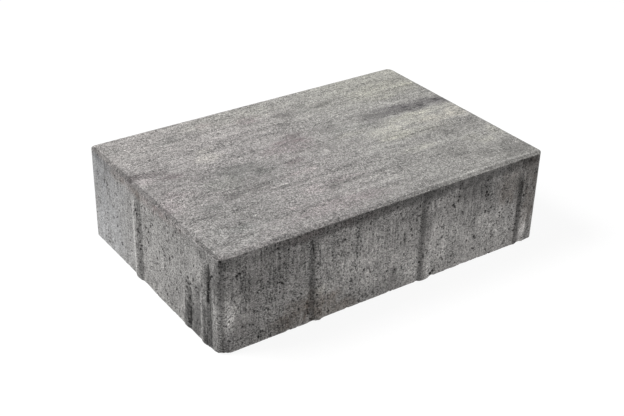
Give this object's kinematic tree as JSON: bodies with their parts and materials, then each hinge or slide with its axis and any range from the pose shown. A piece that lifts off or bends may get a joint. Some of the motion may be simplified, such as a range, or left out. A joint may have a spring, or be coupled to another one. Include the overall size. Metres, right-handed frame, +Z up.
{
  "type": "concrete paving stone",
  "caption": "Rectangular pressed concrete paving stone with a finely bevelled walking face, rounded corners and vertical spacer nibs on its sides.",
  "frame": {"origin": "centre of the bed face, the flat underside on which the stone lies", "axes": "+X along the 300 mm length, +Y along the 200 mm width, +Z up through the 80 mm thickness, out of the bevelled walking face"},
  "size_m": [0.3036, 0.2036, 0.08],
  "materials": {
    "concrete": "matt pressed concrete, fine sandy grain with small pores, mottled light and dark grey"
  },
  "bodies": {
    "root": {"paving_stone": "concrete"}
  },
  "joints": []
}
